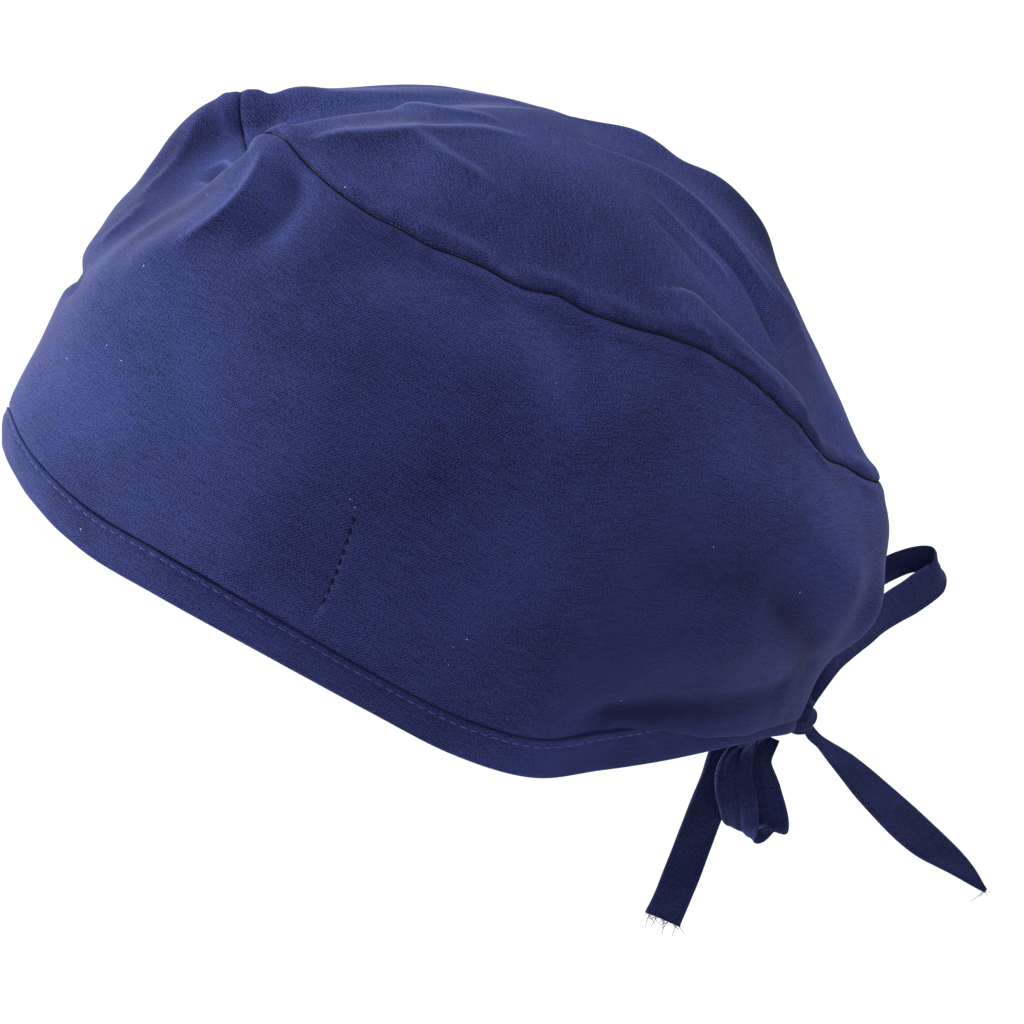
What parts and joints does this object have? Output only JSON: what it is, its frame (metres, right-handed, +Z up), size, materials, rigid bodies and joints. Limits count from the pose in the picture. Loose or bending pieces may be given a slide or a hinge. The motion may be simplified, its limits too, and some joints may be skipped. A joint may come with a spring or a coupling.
{
  "type": "scrub cap",
  "caption": "Cloth cap with a pleated oval crown, a stitched hem band and ties in a bow at the nape, shaped as if worn.",
  "frame": {"origin": "where the middle of the wearer's head sits inside the cap, level with the ears", "axes": "+Z up, towards the crown; -Y towards the front of the cap; +X towards the wearer's left"},
  "size_m": [0.16, 0.2731, 0.2359],
  "materials": {
    "side_cloth": "matt plain weave",
    "crown_cloth": "matt plain weave",
    "band_cloth": "matt plain weave, topstitched",
    "tie_cloth": "matt plain weave, folded strap"
  },
  "bodies": {
    "root": {"side_panel": "side_cloth", "top_panel": "crown_cloth", "hem_band": "band_cloth", "bow_knot": "tie_cloth", "loop_left": "tie_cloth", "loop_right": "tie_cloth", "tail_left": "tie_cloth", "tail_right": "tie_cloth"}
  },
  "joints": []
}
